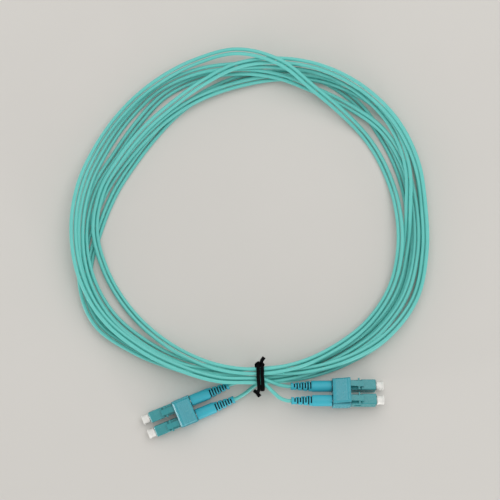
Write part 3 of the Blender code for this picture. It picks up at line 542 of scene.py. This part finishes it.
def smooth_between(before, first, last, after):
    """Points of a smooth curve from the first point to the last, whose ends lean on the ones beyond."""
    points = np.array([before, first, last, after], float)
    at = np.concatenate([[0.0], np.cumsum(np.linalg.norm(np.diff(points, axis=0), axis=1))])
    count = max(2, round((at[2] - at[1]) / LEG_SPACING))
    where = np.linspace(at[1], at[2], count + 1)
    smooth = np.column_stack([eased(at, points[:, axis], where) for axis in range(3)])
    return [Vector(point) for point in smooth]


def laid_over(points, coils):
    """Lifts the inner points of a line off the coil's turns that it crosses."""
    laid = [point.copy() for point in points]
    for point in laid[1:-1]:
        for coil in coils:
            for start, end in zip(coil[:-2], coil[1:-1]):
                run = (end - start).to_2d()
                share = min(max((point - start).to_2d().dot(run) / run.length_squared, 0.0), 1.0)
                under = start.lerp(end, share)
                apart = (point - under).to_2d().length
                if apart < TURN_PITCH:
                    point.z = max(point.z, under.z + math.sqrt(TURN_PITCH**2 - apart**2))
    return laid


def cord_routes():
    """Both strands' centre points, from inside the left boots through the coil to inside the right boots."""
    boots = []
    for label in PLUG_SIDES:
        for front, back, radius in BOOT_RUNS:
            boots.append((np.array(on_axis(label, front)), np.array(on_axis(label, back)), radius))
    stations = (JACKET_FRONT, BOOT_END, BOOT_END - CORD_DIAMETER)
    coils = coil_strands(boots)
    routes = []
    for letter, coil in zip("AB", coils):
        enter = [on_axis("Left_" + letter, x) for x in stations]
        leave = [on_axis("Right_" + letter, x) for x in reversed(stations)]
        first = smooth_between(enter[1], enter[2], coil[0], coil[1])
        last = laid_over(smooth_between(coil[-2], coil[-1], leave[0], leave[1]), coils)
        routes.append(enter[:2] + first + coil[1:-1] + last + leave[1:])
    return routes


# ---------------------------------------------------------------- the cord and its tie


def level_slope(before, after):
    """A slope between the two that never takes the cord past the height of a point."""
    if before * after <= 0:
        return 0.0
    return 2 * before * after / (before + after)


def set_handles(knots, route):
    """Smooth handles along the plan of the route, level wherever it is at its lowest or highest."""
    ahead = [route[0] * 2 - route[1]] + route[:-1]
    beyond = route[1:] + [route[-1] * 2 - route[-2]]
    for knot, before, point, after in zip(knots, ahead, route, beyond):
        came, goes = (point - before).to_2d().length, (after - point).to_2d().length
        heading = (after - before).to_2d().normalized().to_3d()
        heading.z = level_slope((point.z - before.z) / came, (after.z - point.z) / goes)
        knot.co = point
        knot.handle_left_type = "FREE"
        knot.handle_right_type = "FREE"
        knot.handle_left = point - heading * came / 3
        knot.handle_right = point + heading * goes / 3


def jacket(name, route, node):
    """One strand's jacket: a smooth round tube through the route's points."""
    curve = bpy.data.curves.new(name, "CURVE")
    curve.dimensions = "3D"
    curve.bevel_depth = CORD_DIAMETER / 2
    curve.bevel_resolution = 6
    curve.resolution_u = 8
    curve.use_fill_caps = True
    spline = curve.splines.new("BEZIER")
    spline.bezier_points.add(len(route) - 1)
    set_handles(spline.bezier_points, route)
    curve.materials.append(AQUA_JACKET)
    made = bpy.data.objects.new(name, curve)
    bpy.context.scene.collection.objects.link(made)
    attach(made, "cord")
    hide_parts(node)
    return made


def held_in_tie(routes, outward, along):
    """Where the strands' centres lie across the tie, as (outward, up) vectors, over its whole width."""
    found = []
    for route in routes:
        for start, end in zip(route, route[1:]):
            for share in np.linspace(0.0, 1.0, TIE_SAMPLES):
                point = start.lerp(end, share) - COIL_CENTRE
                if abs(point.dot(along)) < TIE_REACH and point.dot(outward) > 0:
                    found.append(Vector((point.dot(outward), point.z)))
    return found


def tie_turns(held):
    """The ribbon's two turns, drawn tight round the strands: outward, up and to the left of each point."""
    clear = (CORD_DIAMETER + TIE_THICKNESS) / 2 + CLEARANCE
    points = []
    steps = round(TIE_TURNS * TIE_POINTS_PER_TURN)
    for step in range(steps + 1):
        turn = 2 * math.pi * step / TIE_POINTS_PER_TURN
        facing = Vector((math.cos(turn), math.sin(turn)))
        shift = TIE_TURN_PITCH * (step - steps / 2) / TIE_POINTS_PER_TURN
        across, up = max(held, key=facing.dot) + clear * facing
        points.append(Vector((across, up, -shift)))
    return points


def ribbon(curve, points, tilt=0.0):
    """A smooth stretch of ribbon through the points, turned on its edge by the tilt at its last point."""
    spline = curve.splines.new("BEZIER")
    spline.bezier_points.add(len(points) - 1)
    for knot, point in zip(spline.bezier_points, points):
        knot.co = point
        knot.handle_left_type = "AUTO"
        knot.handle_right_type = "AUTO"
    spline.bezier_points[-1].tilt = tilt


def beside(point, steps):
    """The points that lie these steps in mm from a point."""
    return [point + Vector(step) * MM for step in steps]


def tie_ribbon(routes):
    """The ribbon round the gathered strands, laid flat on them, with its twisted ends spread apart."""
    bearing = math.radians(TIE_BEARING)
    outward = Vector((math.sin(bearing), -math.cos(bearing), 0.0))
    along = Vector((math.cos(bearing), math.sin(bearing), 0.0))
    curve = bpy.data.curves.new("Tie_Route", "CURVE")
    curve.dimensions = "3D"
    curve.twist_mode = "Z_UP"
    curve.bevel_depth = TIE_THICKNESS / 2
    curve.bevel_resolution = 4
    curve.extrude = (TIE_WIDTH - TIE_THICKNESS) / 2
    curve.resolution_u = 6
    curve.use_fill_caps = True
    turns = tie_turns(held_in_tie(routes, outward, along))
    near, far = turns[0], turns[-1]
    ribbon(curve, beside(near, NEAR_TAIL) + turns + beside(far, FAR_TAIL))
    ribbon(curve, beside(near, CROSS_BAR))
    ribbon(curve, beside(far, HOOK), tilt=math.pi / 2)
    mesh = evaluated("Tie_Ribbon", bpy.data.objects.new("Tie_Route", curve))
    mesh.shade_smooth()
    turn = Matrix((outward, (0.0, 0.0, 1.0), -along)).transposed()
    at_tie = Matrix.Translation(COIL_CENTRE) @ turn.to_4x4()
    return piece("Tie_Ribbon", mesh, at_tie, "cord", "tie", TIE_COAT, "Tie_Wrap")


ROUTES = cord_routes()
TIE = tie_ribbon(ROUTES)
INNER_JACKET = jacket("Inner_Jacket", ROUTES[0], "Zip_Cord_Strand_A")
OUTER_JACKET = jacket("Outer_Jacket", ROUTES[1], "Zip_Cord_Strand_B")


# ---------------------------------------------------------------- the plugs

# These sizes are in mm, with x nought at a plug's front face and falling towards its cord.
PLUG_SIDE = 4.5
HOUSING_BACK = -10.4
SHANK_INSET = 0.3
SHANK_LENGTH = 2.6
DECK_FRONT = -6.0
DECK_RAMP = 0.15
DECK_DROP = 0.42
DECK_NARROWING = 0.965
NOSE_CHAMFER = 0.35
SIDE_CHAMFER = 0.3
CORNER_ZONE = 1.7  # from the axis, beyond which an edge is at a corner of the housing
SIDE_GROOVE_LOW, SIDE_GROOVE_HIGH = (-9.2, 1.95, -0.8), (-6.4, 2.6, 0.8)

ARM_WIDTH = 2.4
SHOULDER_LOW, SHOULDER_HIGH = (-7.6, -2.45, 2.8), (-6.9, 2.45, 3.4)

TAIL_FRONT = -26.6
TAIL_LENGTH = 7.8
TAIL_RADIUS = 2.2
TAIL_TAPER = 0.8
SLOTS = 7
SLOT_PITCH = 1.12
SLOT_WIDTH = 0.6
FIRST_SLOT = -26.88
SLOT_HINGE = 0.55  # what a slot leaves uncut at the far side
SLOT_ROLL = 0.2
BEYOND = 5.0  # past the boot's skin on every side

CLIP_BACK, CLIP_FRONT = -18.2, -11.6
CLIP_HALF_WIDTH, CLIP_HALF_HEIGHT = 5.8, 2.6
CLIP_CORNER = 0.45
CLIP_STEP_INSET = 0.15
CLIP_STEP_LENGTH = 0.9
OPENING_BACK, OPENING_FRONT = -19.5, -9.5
POCKET_HALF_SIDE = 2.2
CLIP_GROOVE_HALF_WIDTH = 0.25
CLIP_GROOVE_LOW, CLIP_GROOVE_HIGH = -5.2, -1.8

PLATE_WIDTH = 10.5
PLATE_CHAMFER = 0.5
PLATE_TOP_ZONE = 4.0  # above this height an edge belongs to the plate's upper side
PLATE_LIP = -11.5
GRIPS = 5
FIRST_GRIP = -16.6
GRIP_PITCH = 0.8
GRIP_WIDTH = 0.18
GRIP_DEPTH = 0.07
GRIP_ABOVE = 0.5
GRIP_HALF_LENGTH = 4.6
PLATE_FOOT, PLATE_FOOT_HEIGHT, PLATE_SLOPE = -17.4, 4.5, 0.2


def housing_block():
    """The square nose, the lower deck that the latch arm stands over, and the shank in the clip."""
    bm = bmesh.new()
    half = PLUG_SIDE / 2
    block(bm, (HOUSING_BACK, -half, -half), (0.0, half, half))
    for x in (DECK_FRONT, DECK_FRONT - DECK_RAMP):
        cut_at = bm.verts[:] + bm.edges[:] + bm.faces[:]
        bmesh.ops.bisect_plane(bm, geom=cut_at, plane_co=(x * MM, 0.0, 0.0), plane_no=(1.0, 0.0, 0.0))
    deck = [vert for vert in bm.verts if vert.co.x < (DECK_FRONT - DECK_RAMP / 2) * MM]
    bmesh.ops.scale(bm, vec=(1.0, DECK_NARROWING, 1.0), verts=deck)
    deck_top = [vert for vert in deck if vert.co.z > 0]
    bmesh.ops.translate(bm, vec=(0.0, 0.0, -DECK_DROP * MM), verts=deck_top)
    beveled(bm, list(end_face(bm, 1).edges), NOSE_CHAMFER)
    step_out(bm, -1, SHANK_INSET, SHANK_LENGTH)
    corners = []
    for edge in along_x(bm.edges):
        middle = (edge.verts[0].co + edge.verts[1].co) / 2
        if min(abs(middle.y), abs(middle.z)) > CORNER_ZONE * MM:
            corners.append(edge)
    beveled(bm, corners, SIDE_CHAMFER)
    return finished("Housing_Block", bm)


def housing_body():
    """The housing with its front cavity, the spring's chamber and a groove along each side."""
    bore_profile = (
        (1.0, 0.0),
        (1.0, 1.85),
        (0.0, 1.85),
        (-0.1, 1.75),
        (-5.2, 1.75),
        (-5.2, 1.0),
        (-6.0, 1.0),
        (-6.0, 1.6),
        (-14.0, 1.6),
        (-14.0, 0.0),
    )
    bore = turned("Bore", bore_profile, closed=False)
    (back, inner, low), (front, outer, high) = SIDE_GROOVE_LOW, SIDE_GROOVE_HIGH
    mirrored = ((back, -outer, low), (front, -inner, high))
    grooves = blocks("Grooves", [(SIDE_GROOVE_LOW, SIDE_GROOVE_HIGH), mirrored])
    body = combined("Housing_Body", housing_block(), [bore, grooves])
    return rounded("Housing_Body", body, width=0.07)


def latch_arm():
    """The sprung arm: a root on the nose, two shoulders, and a tail under the trigger."""
    outline = (
        (-5.25, 2.29),
        (-6.0, 2.29),
        (-6.3, 2.55),
        (-6.6, 2.55),
        (-11.8, 3.9),
        (-11.8, 4.42),
        (-11.5, 4.5),
        (-6.6, 3.35),
        (-5.2, 3.1),
    )
    shoulders = blocks("Shoulders", [(SHOULDER_LOW, SHOULDER_HIGH)])
    arm = combined("Latch_Arm", plate("Latch_Arm", outline, ARM_WIDTH), [shoulders], "UNION")
    return rounded("Latch_Arm", arm, width=0.08)


def slotted_boot():
    """A barrel and a tapered tail that slots from both sides leave as one folded ribbon, with a collar."""
    profile = (
        (-18.4, 2.15),
        (-18.46, 2.25),
        (-18.6, 2.33),
        (-18.8, 2.35),
        (-26.1, 2.35),
        (-26.35, 2.32),
        (-26.55, 2.24),
        (-26.6, 2.2),
        (-34.35, 1.42),
        (-34.45, 1.5),
        (-34.6, 1.53),
        (-35.15, 1.53),
        (-35.26, 1.5),
        (-35.3, 1.42),
        (-35.3, 1.07),
        (-34.4, 1.07),
        (-26.5, 1.75),
        (-26.5, 1.95),
        (-18.4, 1.95),
    )
    corners = []
    for number in range(SLOTS):
        front = FIRST_SLOT - SLOT_PITCH * number
        back = front - SLOT_WIDTH
        side = 1 if number % 2 == 0 else -1
        radius = TAIL_RADIUS - TAIL_TAPER * (TAIL_FRONT - back) / TAIL_LENGTH
        start, end = sorted((side * (SLOT_HINGE - radius), side * BEYOND))
        corners.append(((back, start, -BEYOND), (front, end, BEYOND)))
    slots = blocks("Slots", corners, SLOT_ROLL)
    boot = combined("Slotted_Boot", turned("Slotted_Boot", profile), [slots])
    return rounded("Slotted_Boot", boot, width=0.07, angle=40)


def slot_shade_sleeve():
    """A near-black sleeve in the boot's tail: painted shade that shows between the folds in place of the
    shade in the slots.
    """
    profile = (
        (-26.6, 0.85),
        (-26.6, 1.7),
        (-34.4, 1.03),
        (-34.4, 0.85),
    )
    return turned("Boot_Slot_Shade", profile)


def grip_cap():
    """A dust cap: its tail in the housing, a seating collar, a waist and a rolled rim, dished at the end."""
    profile = (
        (3.0, 0.0),
        (3.0, 1.3),
        (3.2, 1.5),
        (3.2, 1.8),
        (3.14, 1.9),
        (3.0, 1.95),
        (2.75, 1.95),
        (2.62, 1.88),
        (2.5, 1.76),
        (0.95, 1.75),
        (0.86, 1.79),
        (0.8, 1.86),
        (0.74, 1.88),
        (0.36, 1.88),
        (0.3, 1.82),
        (0.3, 1.45),
        (-3.8, 1.45),
        (-4.0, 1.3),
        (-4.0, 0.92),
        (0.3, 0.92),
        (0.3, 0.0),
    )
    return rounded("Grip_Cap", turned("Grip_Cap", profile, closed=False), width=0.03)


def clip_body():
    """The block that holds the two plugs, with a stepped front and a groove along its underside."""
    bm = bmesh.new()
    low = (CLIP_BACK, -CLIP_HALF_WIDTH, -CLIP_HALF_HEIGHT)
    high = (CLIP_FRONT, CLIP_HALF_WIDTH, CLIP_HALF_HEIGHT)
    block(bm, low, high)
    beveled(bm, along_x(bm.edges), CLIP_CORNER, segments=3)
    step_out(bm, 1, CLIP_STEP_INSET, CLIP_STEP_LENGTH)
    groove_low = (OPENING_BACK, -CLIP_GROOVE_HALF_WIDTH, CLIP_GROOVE_LOW)
    groove_high = (OPENING_FRONT, CLIP_GROOVE_HALF_WIDTH, CLIP_GROOVE_HIGH)
    openings = [(groove_low, groove_high)]
    for side in (-1, 1):
        middle = side * PLUG_PITCH / 2 / MM
        pocket_low = (OPENING_BACK, middle - POCKET_HALF_SIDE, -POCKET_HALF_SIDE)
        pocket_high = (OPENING_FRONT, middle + POCKET_HALF_SIDE, POCKET_HALF_SIDE)
        openings.append((pocket_low, pocket_high))
    body = combined("Clip_Body", finished("Clip_Body", bm), [blocks("Openings", openings)])
    return rounded("Clip_Body", body, width=0.08)


def finger_plate():
    """The trigger: a sloping plate with chamfered sides, fine grip lines across it and a raised front lip."""
    outline = (
        (-18.2, 2.9),
        (-16.5, 2.9),
        (-11.2, 4.85),
        (-10.9, 4.85),
        (-10.9, 5.25),
        (-11.55, 5.9),
        (-12.0, 5.9),
        (-12.4, 5.5),
        (-17.4, 4.5),
        (-18.2, 4.1),
    )
    grips = []
    for number in range(GRIPS):
        x = FIRST_GRIP + GRIP_PITCH * number
        level = PLATE_FOOT_HEIGHT + (x - PLATE_FOOT) * PLATE_SLOPE
        low = (x - GRIP_WIDTH / 2, -GRIP_HALF_LENGTH, level - GRIP_DEPTH)
        high = (x + GRIP_WIDTH / 2, GRIP_HALF_LENGTH, level + GRIP_ABOVE)
        grips.append((low, high))
    bm = bmesh.new()
    bm.from_mesh(plate("Finger_Plate", outline, PLATE_WIDTH))
    sides = []
    for edge in along_x(bm.edges, least=0.0):
        first, second = (vert.co for vert in edge.verts)
        if min(first.z, second.z) > PLATE_TOP_ZONE * MM and max(first.x, second.x) < PLATE_LIP * MM:
            sides.append(edge)
    beveled(bm, sides, PLATE_CHAMFER)
    solid = rounded("Finger_Plate", finished("Finger_Plate", bm), width=0.1, angle=25)
    return combined("Finger_Plate", solid, [blocks("Grips", grips)])


def spring_coil():
    """The spring's wire in an even helix."""
    curve = bpy.data.curves.new("Spring_Route", "CURVE")
    curve.dimensions = "3D"
    curve.bevel_depth = SPRING_WIRE / 2
    curve.bevel_resolution = 3
    curve.use_fill_caps = True
    spline = curve.splines.new("POLY")
    spline.points.add(SPRING_STEPS)
    for number, knot in enumerate(spline.points):
        share = number / SPRING_STEPS
        turn = 2 * math.pi * SPRING_CURLS * share
        x = SPRING_FRONT + (SPRING_REAR - SPRING_FRONT) * share
        knot.co = (x, SPRING_RADIUS * math.cos(turn), SPRING_RADIUS * math.sin(turn), 1.0)
    return evaluated("Spring_Coil", bpy.data.objects.new("Spring_Route", curve))


def spring(label):
    """The spring behind a plug's ferrule, put in place in the plug."""
    made = placed(f"Spring_Coil_{label}", SPRING, plug_matrix(label), STEEL)
    rear, front = on_axis(label, SPRING_REAR), on_axis(label, SPRING_FRONT)
    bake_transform(made)
    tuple(rear)
    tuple(front)
    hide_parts(f"Ferrule_Spring_{label}")


HOUSING, ARM, BOOT, SLOT_SHADE_SLEEVE = housing_body(), latch_arm(), slotted_boot(), slot_shade_sleeve()
CAP, CLIP, PLATE, SPRING = grip_cap(), clip_body(), finger_plate(), spring_coil()
for label in PLUG_SIDES:
    place = plug_matrix(label)
    suffix = label.lower()
    plastic = HOUSING_PLASTIC
    spring(label)
    piece(f"Housing_Body_{label}", HOUSING, place, "cord", "housing", plastic, f"Plug_Housing_{label}")
    piece(f"Latch_Arm_{label}", ARM, place, f"latch_{suffix}", "housing", plastic, f"Latch_Lever_{label}")
    piece(f"Slotted_Boot_{label}", BOOT, place, "cord", "boot", BOOT_RUBBER, f"Boot_{label}")
    # A near-black sleeve inside each boot's tail: painted shade seen through the slots.
    piece(f"Boot_Slot_Shade_{label}", SLOT_SHADE_SLEEVE, place, "cord", "boot", SLOT_SHADE_PAINT)
    piece(f"Grip_Cap_{label}", CAP, place, f"cap_{suffix}", "cap", CAP_PLASTIC, f"Dust_Cap_{label}")
for end in END_FRAMES:
    place = end_matrix(end)
    trigger = f"{end.lower()}_trigger"
    piece(f"Clip_Body_{end}", CLIP, place, "cord", "housing", CLIP_PLASTIC, f"Duplex_Clip_{end}")
    piece(f"Finger_Plate_{end}", PLATE, place, trigger, "housing", CLIP_PLASTIC, f"Trigger_{end}")


# ---------------------------------------------------------------- the table and the light

TABLE_HALF_SIDE = 3.0  # metres
# Each lamp's name, place and size in metres, and power: a wide window, and two low lamps for the edges.
LAMPS = (
    ("Window", (0.2, 0.6, 1.15), (1.5, 1.5), 11.5),
    ("Rim Left", (-0.86, -0.34, 0.07), (0.14, 0.14), 2.6),
    ("Rim Near", (0.44, -0.75, 0.07), (0.2, 0.14), 3.0),
)
LAMP_AIM = (0.0, 0.06, 0.0)
# The room's light falls from the walls' to the ceiling's between these heights of a view direction.
WALL_TOP, CEILING_EDGE = 0.05, 0.6
WALL_LIGHT, CEILING_LIGHT = 1.1, 0.5


def table():
    """A plain pale table top under the object."""
    bm = bmesh.new()
    bmesh.ops.create_grid(bm, x_segments=1, y_segments=1, size=TABLE_HALF_SIDE)
    made = bpy.data.objects.new("Table", finished("Table", bm))
    top = finish("Pale Table", (0.612, 0.594, 0.566), 0.7, specular=0.2, tone_spread=0.05, tone_size=12.0)
    made.data.materials.append(top)
    bpy.context.scene.collection.objects.link(made)


def softbox(name, place, size, power):
    """A rectangular lamp that faces the object."""
    data = bpy.data.lights.new(name, "AREA")
    data.shape = "RECTANGLE"
    data.size, data.size_y = size
    data.energy = power
    made = bpy.data.objects.new(name, data)
    made.location = place
    made.rotation_euler = (Vector(LAMP_AIM) - Vector(place)).to_track_quat("-Z", "Y").to_euler()
    bpy.context.scene.collection.objects.link(made)


def room_light():
    """A pale room whose walls are brighter than its ceiling."""
    world = bpy.data.worlds.new("Room")
    world.use_nodes = True
    nodes, link = world.node_tree.nodes, world.node_tree.links.new
    direction = nodes.new("ShaderNodeTexCoord")
    height = nodes.new("ShaderNodeSeparateXYZ")
    link(direction.outputs["Generated"], height.inputs[0])
    walls = nodes.new("ShaderNodeMapRange")
    walls.interpolation_type = "SMOOTHSTEP"
    walls.inputs["From Min"].default_value = WALL_TOP
    walls.inputs["From Max"].default_value = CEILING_EDGE
    walls.inputs["To Min"].default_value = WALL_LIGHT
    walls.inputs["To Max"].default_value = CEILING_LIGHT
    link(height.outputs["Z"], walls.inputs["Value"])
    background = nodes["Background"]
    background.inputs["Color"].default_value = (1.0, 0.99, 0.97, 1.0)
    link(walls.outputs["Result"], background.inputs["Strength"])
    bpy.context.scene.world = world


table()
for name, place, size, power in LAMPS:
    softbox(name, place, size, power)
room_light()
bpy.context.scene.view_settings.view_transform = "Standard"
